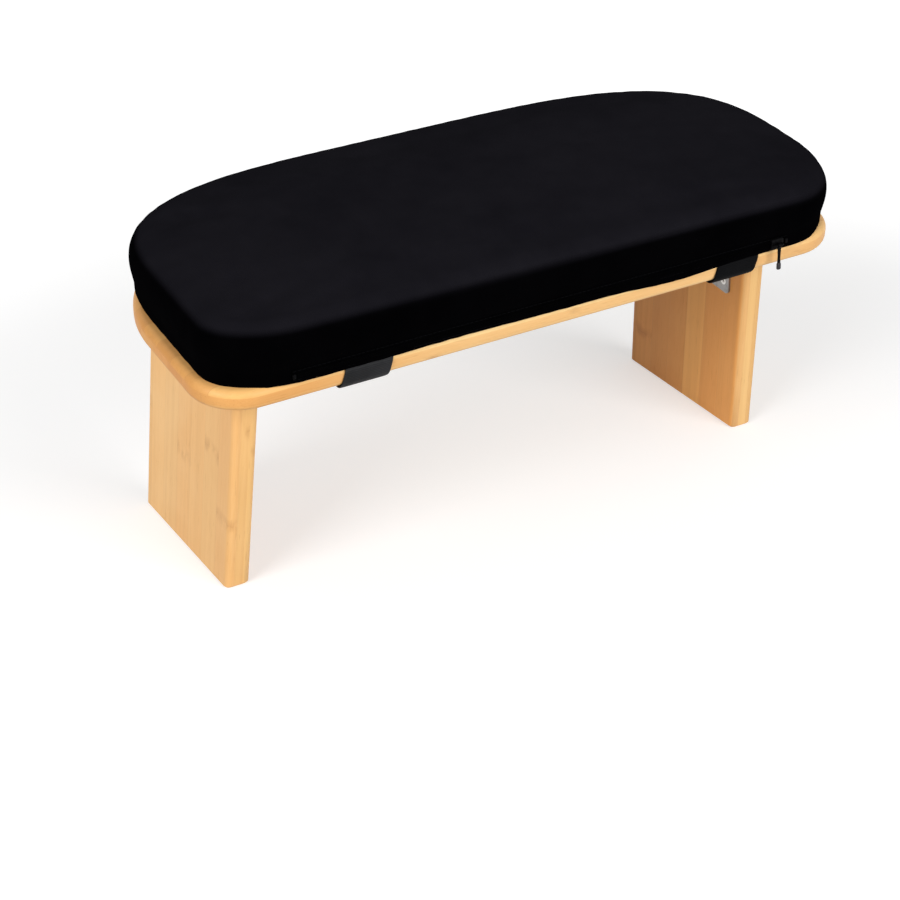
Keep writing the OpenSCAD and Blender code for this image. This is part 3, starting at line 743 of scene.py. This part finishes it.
def sew(mesh):
    """Draws the cloth in along its seams: a bell-shaped groove, and beside it soft puckers,
    the sum of plane waves in many directions, that fade away from the seam."""
    points, normals = read(mesh.vertices, "co"), read(mesh.vertices, "normal")
    seam = np.zeros(len(points))
    mesh.attributes["seam"].data.foreach_get("value", seam)
    random = np.random.default_rng(7)
    turn = random.uniform(0, math.tau, PUCKER_WAVES)
    wave = random.uniform(9 * MM, 17 * MM, PUCKER_WAVES)
    phase = random.uniform(0, math.tau, PUCKER_WAVES)
    ways = np.stack([np.cos(turn), np.sin(turn), 0.4 * np.sin(turn * 2)], -1) / wave[:, None]
    pucker = np.sin(points @ ways.T * math.tau + phase).sum(1) / 4
    push = (PUCKER * pucker * np.exp(-seam / PUCKER_FADE)
            - SEAM_DEEP * np.exp(-(seam / SEAM_WIDE) ** 2))
    mesh.vertices.foreach_set("co", (points + normals * push[:, None]).ravel())
    mesh.attributes.remove(mesh.attributes["seam"])
    mesh.update()


def droop(xy):
    """How far the pad's lower edge hangs over the board's near edge: a little everywhere,
    more beside the right strap and less beside the left one, as bell-shaped bumps along X."""
    x, y = xy.T
    hang = HANG + sum(most * np.exp(-((x - middle) / wide) ** 2)
                      for most, middle, wide in HANG_BUMPS)
    start, full = HANG_ACROSS
    return hang * np.clip((-y - start) / (full - start), 0, 1)


def cushion():
    """The pad: a closed form of an underside, a side band and a crowned top panel, blown up
    as cloth, with a seam along its foot and one along its shoulder."""
    profile, rings, seam = cushion_profile()
    insets, heights = profile[:, 0], profile[:, 1]
    across, along = PAD_CELLS
    xy, level, faces, wall = plate(PAD_PLAN, insets, across, along)
    caps = (across + 1) * (along + 1)
    u = np.linspace(-1, 1, across + 1)[None, :]
    v = np.linspace(-1, 1, along + 1)[:, None]
    height = heights[level]
    height[-caps:] += PAD_CROWN * ((1 - u ** 2) * (1 - v ** 2)).ravel() ** 0.8
    hanging = np.zeros(len(rings))
    hanging[:len(HANG_BY_RING)] = HANG_BY_RING
    height -= droop(xy) * hanging[level]
    xy[:, 1] += (ZIP_RECESS * np.clip((-xy[:, 1] - RECESS_FROM) / RECESS_RUN, 0, 1)
                 * ((height > 3 * MM) & (height < BAND_H + MM) & (level > 0)))
    points = on_seat(np.column_stack([xy, height + BOARD_T]) + [CUSHION_ASIDE, 0, 0])

    uv = xy[faces]
    loop = wall.shape[1] - 1
    quads_in_cap = across * along
    seam_ring = int(np.argmin(abs(rings - seam)))
    gone = travelled(xy[wall[BAND_RING + 1]])
    sides = corners(np.stack(np.broadcast_arrays(gone[None, :], rings[:, None]), -1))
    band = seam_ring * loop
    uv[quads_in_cap:quads_in_cap + band] = sides[:band]

    made = piece("cushion", points, faces, COVER_CLOTH, "seat", uv, 180)
    place, foot = rings[level], rings[3]
    cap_rim = rim(np.arange(caps).reshape(along + 1, -1))
    far = np.minimum(abs(place - seam), abs(place - foot))
    far[:caps] = UNDERSIDE_AWAY
    far[:caps][cap_rim] = foot
    far[-caps:] = TOP_AWAY
    far[-caps:][cap_rim] = rings[-1] - seam
    mark(made, "seam", far)
    # Painted light: top marks the cloth painted as lit from above, fading to the painted shade of
    # the side; the edge sits lower down the side towards the right.
    turned = place - seam + PAINTED_LIGHT_SLANT * xy[:, 0]
    top = np.clip(turned / PAINTED_LIGHT_EDGE + 0.5, 0, 1)
    top[:caps] = 0
    mark(made, "top", top)
    swell(made, (heights[level] <= BAND_H + 0.1 * MM) | (level == seam_ring))
    mesh = refined(made)
    sew(mesh)
    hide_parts("cushion_cover", "foam_core", "cushion_base_panel")


cushion()


# ---- straps and their patches ----

STRAPS = {"near_left": (-130 * MM, -1), "near_right": (138 * MM, -1),
          "far_left": (-86 * MM, 1), "far_right": (86 * MM, 1)}
HEM, HEM_GAP, HEM_EDGE, SIDE_EDGE = 9 * MM, 0.06 * MM, 1.6 * MM, 2.5 * MM
STRAP_SKEW = 4 * MM
STITCH, STITCH_STEP = 2.6 * MM, 3.2 * MM
STRAP_THREAD_R, ZIP_THREAD_R = 0.24 * MM, 0.18 * MM


def stitch_form(radius):
    """One stitch: a six-sided thread that swells between two narrow ends."""
    x = np.array([-0.5, -0.3, 0, 0.3, 0.5]) * STITCH
    thick = np.array([0.35, 0.9, 1.0, 0.9, 0.35]) * radius
    hexagon = superellipse(2, 2, 1, 6)
    path = np.stack([x, 0 * x, 0 * x], -1)
    return carried(path, Y_AXIS, Z_AXIS,
                   hexagon[None] * thick[:, None, None])


def stitch_row(start, end, out):
    """Places and axes of a row of stitches from start to end, lying on a face that looks out."""
    start, end, out = (np.array(p, float) for p in (start, end, out))
    length = np.linalg.norm(end - start)
    count = max(1, int(length / STITCH_STEP))
    share = (np.arange(count) + 0.5) / count
    along = (end - start) / length
    axes = np.array([along, np.cross(out, along), out])
    return start + share[:, None] * (end - start), np.broadcast_to(axes, (count, 3, 3))


def stitches(name, rows, form, turn_to_place):
    """Rows of stitches as one mesh."""
    middles = np.concatenate([row[0] for row in rows])
    axes = np.concatenate([row[1] for row in rows])
    points, faces = repeated(form, middles, axes)
    piece(name, turn_to_place(points), faces, THREAD, "seat")


def arc(middle_y, middle_z, radius, start, end, steps):
    """Points (y, z) of an arc and the directions from its middle."""
    turn = np.radians(np.linspace(start, end, steps))
    out = np.stack([np.cos(turn), np.sin(turn)], -1)
    return np.array([middle_y, middle_z]) + radius * out, out


def line(start, end, out, steps):
    """Points (y, z) of a straight run between two ends, both left out, and its outward side."""
    share = np.linspace(0, 1, steps + 1)[1:-1, None]
    return np.array(start) * (1 - share) + np.array(end) * share, np.tile(out, (len(share), 1))


def strap(name, x, side):
    """A band that comes out of the cushion's foot seam, bends round the board's edge, runs
    under the board on its patch and is hemmed back on itself. The left ones get the webbing
    painted as lit, the right ones its copy painted as shaded."""
    half = STRAP_T / 2
    bend_r = BOARD_EDGE_R + STRAP_GAP + half
    middle_y = BOARD_D / 2 - BOARD_EDGE_R
    top_z, low_z = BOARD_T - BOARD_EDGE_R, bend_r - PATCH_T - half
    tail_y, under = BOARD_D / 2 - STRAP_TAIL + 1.3 * MM, -PATCH_T - half
    fold_r = half + HEM_GAP
    runs = [arc(middle_y, top_z, bend_r, 66, 0, 8),
            line((middle_y + bend_r, top_z), (middle_y + bend_r, low_z), (1, 0), 5),
            arc(middle_y, low_z, bend_r, 0, -90, 9),
            line((middle_y, under), (tail_y, under), (0, -1), 22),
            arc(tail_y, under - fold_r, fold_r, 90, 270, 9),
            line((tail_y, under - 2 * fold_r), (tail_y + HEM, under - 2 * fold_r), (0, -1), 7)]
    flat = np.concatenate([run[0] for run in runs])
    lengths = travelled(flat)
    tangent = heading(flat)
    normal = np.stack([-tangent[:, 1], tangent[:, 0]], -1)
    skewed = x + STRAP_SKEW * np.clip(flat[:, 1] / BOARD_T, 0, 1)
    path = np.column_stack([skewed, side * flat[:, 0], flat[:, 1]])
    up = np.column_stack([np.zeros(len(flat)), side * normal[:, 0], normal[:, 1]])
    section = superellipse(STRAP_W, STRAP_T, 0.3, 32)
    points, faces = carried(path, X_AXIS, up, section)
    grid = np.stack(np.broadcast_arrays(points.reshape(len(path), -1, 3)[..., 0],
                                        lengths[:, None]), -1).reshape(-1, 2)
    uv = np.concatenate([grid[face] for face in faces])
    # Painted light: the left straps take the lit copy, the right ones the painted-shade copy.
    finish = LIT_WEB if name.endswith("left") else SHADED_WEB
    made = piece(f"{name}_strap_band", on_seat(points), faces, finish, "seat",
                 uv)
    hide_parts(f"{name}_strap")
    face_z = under - 2 * fold_r - half
    low, high = side * (tail_y + HEM_EDGE), side * (tail_y + HEM - HEM_EDGE)
    left, right = x - STRAP_W / 2 + SIDE_EDGE, x + STRAP_W / 2 - SIDE_EDGE
    rows = [stitch_row((left, y, face_z), (right, y, face_z), (0, 0, -1)) for y in (low, high)]
    rows += [stitch_row((end, low, face_z), (end, high, face_z), (0, 0, -1))
             for end in (left, right)]
    stitches(f"{name}_strap_stitches", rows, stitch_form(STRAP_THREAD_R), on_seat)


def patch_form(x, side):
    """A thin pad with round corners and a rounded lower edge, on the board's underside."""
    depth = STRAP_TAIL - BOARD_EDGE_R - PATCH_IN
    plan = rounded(STRAP_W - 2 * PATCH_IN, depth, 2.5 * MM, 2.5 * MM)
    insets = np.array([0.9, 0.35, 0.08, 0, 0]) * MM
    heights = np.array([-1.0, -0.92, -0.7, -0.4, 0]) * MM
    xy, level, faces, _ = plate(plan, insets, 24, 26)
    middle = side * (BOARD_D / 2 - STRAP_TAIL + depth / 2)
    return np.column_stack([xy[:, 0] + x, xy[:, 1] + middle, heights[level]]), faces.tolist()


for strap_name, (strap_x, strap_side) in STRAPS.items():
    strap(strap_name, strap_x, strap_side)
patch_points, patch_faces = together(*(patch_form(*place) for place in STRAPS.values()))
patches = piece("hook_patches", on_seat(patch_points), patch_faces, HOOK_TAPE, "seat",
                np.concatenate([patch_points[face][:, :2] for face in patch_faces]))
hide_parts("fastening_patches")


# ---- the zip ----

COIL_PITCH, COIL_WIRE = 1.4 * MM, 0.2 * MM
COIL_MIDDLE, COIL_REACH, COIL_UP, COIL_HALF_H = 0.62 * MM, 0.66 * MM, 0.7 * MM, 0.46 * MM


def along_zip(low, high, out, steps):
    x = np.linspace(low, high, steps)
    return np.stack([x, 0 * x, 0 * x + out], -1)


def zip_tape():
    """A flat woven tape, and the two rows of stitches that hold it on the cushion's band."""
    path = along_zip(-ZIP_HALF_L, ZIP_HALF_L, TAPE_T / 2, 93)
    points, faces = carried(path, Y_AXIS, Z_AXIS,
                            superellipse(TAPE_W, TAPE_T, 0.3, 20))
    uv = np.concatenate([points[face][:, 1::-1] for face in faces])
    made = piece("zip_tape", on_zip(points), faces, ZIP_TAPE, "seat", uv)
    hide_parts("zip_chain")
    rows = [stitch_row((-ZIP_HALF_L, up, TAPE_T), (ZIP_HALF_L, up, TAPE_T), (0, 0, 1))
            for up in (-TAPE_W / 2 + 1 * MM, TAPE_W / 2 - 1 * MM)]
    stitches("zip_stitches", rows, stitch_form(ZIP_THREAD_R), on_zip)


def zip_coil(side):
    """Half of the closed row: a flattened helix of nylon wire whose turns reach over the
    middle, between the turns of the other half."""
    length = 2 * (ZIP_HALF_L - STOP_L) - COIL_PITCH
    turns = length / COIL_PITCH
    turn = np.linspace(0, turns, int(turns * 10)) * math.tau
    x = -length / 2 + turn / math.tau * COIL_PITCH + (0.25 + 0.25 * side) * COIL_PITCH
    path = np.stack([x, side * (COIL_MIDDLE + COIL_REACH * np.cos(turn)),
                     TAPE_T + COIL_UP + COIL_HALF_H * np.sin(turn)], -1)
    run = heading(path)
    across = np.cross(run, X_AXIS)
    across /= np.linalg.norm(across, axis=1, keepdims=True)
    return carried(path, across, np.cross(run, across), superellipse(2, 2, 1, 6) * COIL_WIRE)


def end_stops():
    """A small clamped stop at each end of the row: a rounded box, narrower at its ends."""
    forms = []
    for middle in (-ZIP_HALF_L + STOP_L / 2, ZIP_HALF_L - STOP_L / 2):
        share = np.array([-1, -0.9, -0.6, 0, 0.6, 0.9, 1])
        path = np.stack([middle + share * STOP_L / 2, 0 * share,
                         0 * share + TAPE_T + TEETH_H / 2], -1)
        thick = np.array([0.72, 0.92, 1, 1, 1, 0.92, 0.72])[:, None, None]
        forms.append(carried(path, Y_AXIS, Z_AXIS,
                             superellipse(TEETH_W, TEETH_H, 0.45, 16) * thick))
    points, faces = together(*forms)
    made = piece("zip_stops", on_zip(points), faces, ZIP_METAL, "seat")
    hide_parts("zip_end_stops")


def slider_form():
    """The slider's body: a section with two curled sides and a slot for the row, carried
    along X, wide at the shoulder and narrow at the tail; and the round bar of its bridge."""
    wide, slot = SLIDER_W / 2, TEETH_W / 2 + SLIDER_GAP
    low, roof = TAPE_T + SLIDER_GAP, SLIDER_TOP - SLIDER_T
    right = np.array([(slot / wide, low), (0.93, low), (1, low + 0.25 * MM),
                      (1, SLIDER_TOP - 1.1 * MM), (0.96, SLIDER_TOP - 0.55 * MM),
                      (0.82, SLIDER_TOP - 0.15 * MM), (0.5, SLIDER_TOP)])
    left = right[::-1] * [-1, 1]
    inner = np.array([(-slot / wide, roof), (slot / wide, roof)])
    section = np.concatenate([right, left, inner])
    share = np.array([-1, -0.96, -0.85, -0.5, 0, 0.5, 0.8, 0.93, 1])
    width = np.array([0.86, 0.92, 0.94, 0.96, 0.98, 1, 0.98, 0.9, 0.8]) * wide
    drop = np.array([0.3, 0.1, 0.03, 0, 0, 0, 0.03, 0.12, 0.35]) * MM
    path = np.stack([SLIDER_X + share * SLIDER_L / 2, 0 * share, 0 * share], -1)
    grown = np.broadcast_to(section, (len(share), *section.shape)).copy()
    grown[..., 0] *= width[:, None]
    inside = abs(section[:, 0]) <= slot / wide + 1e-9
    grown[:, inside, 0] = np.sign(section[inside, 0]) * slot
    grown[..., 1] -= drop[:, None] * (section[:, 1] > roof + 0.1 * MM)
    body = carried(path, Y_AXIS, Z_AXIS, grown)
    reach = (SLIDER_L - SLIDER_T) / 2 - BAR_R
    turn = np.radians(np.linspace(0, 90, 7))
    bend = 1.1 * MM
    corner_x, corner_z = reach - bend + bend * np.cos(turn), BAR_OUT - bend + bend * np.sin(turn)
    half = np.column_stack([np.append(reach, corner_x), np.append(SLIDER_TOP - 0.4 * MM, corner_z)])
    loop = np.concatenate([half, half[::-1] * [-1, 1]])
    path = np.column_stack([SLIDER_X + loop[:, 0], 0 * loop[:, 0], loop[:, 1]])
    bridge = carried(path, Y_AXIS, np.cross(heading(path), Y_AXIS),
                     superellipse(2, 2, 0.8, 12) * BAR_R)
    return together(body, bridge)


def pull_form():
    """The pull: a ring round the slider's bar, and a flat shank that hangs from it with a
    slight waist. Points are X across, Z up and Y out, with the bar at the origin."""
    turn = np.linspace(0, math.tau, 25)[:-1]
    ring_r = (EYE_R + BAR_R + 0.1 * MM) / 2
    out = np.stack([0 * turn, np.cos(turn), np.sin(turn)], -1)
    ring = carried(out * ring_r, X_AXIS, out,
                   superellipse(PULL_W, EYE_R - BAR_R - 0.1 * MM, 0.5, 14), closed=True)
    share = np.linspace(0, 1, 15)
    z = -EYE_R * 0.8 - share * (PULL_L - EYE_R * 0.8 - TIP_L * 0.5)
    width = 1 - 0.2 * np.sin(share * math.pi) ** 2
    path = np.stack([0 * z, 0 * z, z], -1)
    shank = carried(path, X_AXIS, Y_AXIS,
                    superellipse(PULL_W, PULL_T, 0.35, 16) * width[:, None, None])
    return together(ring, shank)


def tip_form():
    """The pull's moulded tip: a rounded block with three soft ribs."""
    share = np.linspace(0, 1, 25)
    z = -PULL_L + TIP_L - share * TIP_L
    round_end = np.sqrt(np.clip(1 - ((share - 0.5) * 2) ** 8, 0.02, 1))
    rib = 1 - 0.05 * (1 - np.cos(share * 4 * math.tau)) * 0.5
    path = np.stack([0 * z, 0 * z, z], -1)
    return carried(path, X_AXIS, Y_AXIS,
                   superellipse(PULL_W + 2 * TIP_OUT, PULL_T + 2 * TIP_OUT, 0.5, 20)
                   * (round_end * rib)[:, None, None])


zip_tape()
coil_points, coil_faces = together(zip_coil(-1), zip_coil(1))
piece("zip_coil", on_zip(coil_points), coil_faces, ZIP_COIL, "seat")
end_stops()
slider_points, slider_faces = slider_form()
slider = piece("zip_slider_body", on_zip(slider_points), slider_faces, ZIP_METAL, "zip_slider")
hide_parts("zip_slider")
BAR_PLACE = on_zip(np.array([SLIDER_X, 0.0, BAR_OUT]))
pull_points, pull_faces = pull_form()
pull = piece("zip_pull_shank", pull_points + BAR_PLACE, pull_faces, ZIP_METAL, "zip_pull")
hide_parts("zip_pull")
tip_points, tip_faces = tip_form()
piece("zip_pull_tip", tip_points + BAR_PLACE, tip_faces, PULL_METAL, "zip_pull")


# ---- hinges and screws keep their solids ----

for name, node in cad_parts.items():
    if name.endswith(("_leaf", "_pin")):
        finish = HINGE_STEEL
    elif name.endswith("_screws"):
        finish = SCREW_STEEL
    else:
        continue
    node.data.materials.clear()
    node.data.materials.append(finish)


# ---- stage, lights and camera ----

FLOOR_HALF = 30.0
SHADE_PALE, GLOW, GLOW_FROM, GLOW_FULL = 0.60, 0.85, 0.3, 1.0
AMBIENT, SOFTBOX_SIZE, LIGHT_AIM = 0.30, 2.4, Vector((0, 0, 0.15))


def floor():
    """A wide pale floor. Its own light fades to the camera's white away from the shadow."""
    f = Finish("floor_paper", Specular_IOR_Level=0.0, Roughness=1.0)
    speck = f.noise(f.place(), 3.0, 2.0)
    f.set("Base Color", f.mix(speck, tint(0.60, 0.60, 0.60), tint(0.62, 0.62, 0.62)))
    away = f.node("VectorMath", {"operation": "LENGTH"}, {0: f.place()}, 1)
    near = tint(SHADE_PALE, SHADE_PALE, SHADE_PALE)
    colour = f.mix(f.step(away, GLOW_FROM, GLOW_FULL), near, tint(1, 1, 1))
    glow = f.node("Emission", None, {"Color": colour, "Strength": GLOW})
    dark = f.node("Emission", None, {"Strength": 0.0})
    lit = f.node("MixShader", None, {0: f.seen(), 1: dark, 2: glow})
    f.feed(f.out, f.node("AddShader", None, {0: Value(f, f.shader.outputs[0]), 1: lit}))
    mesh = bpy.data.meshes.new("floor")
    ends = (-FLOOR_HALF, FLOOR_HALF)
    mesh.from_pydata([(x, y, 0) for y in ends for x in ends], [], [(0, 1, 3, 2)])
    mesh.materials.append(f.material)
    made = linked("floor", mesh)


def studio_light():
    """An even pale surround that lights the object at AMBIENT and is white to the eye."""
    world = bpy.data.worlds.new("studio")
    shading = Shading(world, "World")
    lit, white = (shading.node("Background", None, {"Color": tint(1, 1, 1), "Strength": strength})
                  for strength in (AMBIENT, 1.0))
    whole = shading.node("MixShader", None, {0: shading.seen(), 1: lit, 2: white})
    shading.feed(shading.out, whole)
    bpy.context.scene.world = world


def softbox(name, place, power):
    """A square area light that looks at the bench."""
    light = bpy.data.lights.new(name, "AREA")
    light.size = SOFTBOX_SIZE
    light.energy = power
    made = linked(name, light)
    made.location = place
    made.rotation_mode = "QUATERNION"
    made.rotation_quaternion = (LIGHT_AIM - Vector(place)).to_track_quat("-Z", "Y")


YAW, PITCH, ROLL = math.radians(28.0), math.radians(29.01), math.radians(2.44)
CAMERA_AWAY = 1.446
CAMERA_AIM = Vector((-0.0216, SEAT_Y, 0.0307))
PHOTO_SIDE, FOCAL_PIXELS, SENSOR = 900, 2119.6, 36.0


def camera():
    """The photograph's view: CAMERA_AWAY from the aim, YAW round it, PITCH down on it and
    rolled by ROLL."""
    turn = (Matrix.Rotation(-YAW, 4, "Z") @ Matrix.Rotation(math.pi / 2 - PITCH, 4, "X")
            @ Matrix.Rotation(-ROLL, 4, "Z"))
    data = bpy.data.cameras.new("camera")
    data.sensor_width = SENSOR
    data.lens = FOCAL_PIXELS / PHOTO_SIDE * SENSOR
    data.clip_start, data.clip_end = 0.05, 100
    made = linked("camera", data)
    away = turn @ Vector((0, 0, CAMERA_AWAY))
    made.matrix_world = Matrix.Translation(CAMERA_AIM + away) @ turn
    bpy.context.scene.camera = made


floor()
studio_light()
softbox("key", (-3.5, -1.4, 2.1), 130)
softbox("front", (1.0, -3.8, 1.6), 128)
camera()
bpy.context.scene.view_settings.view_transform = "Standard"
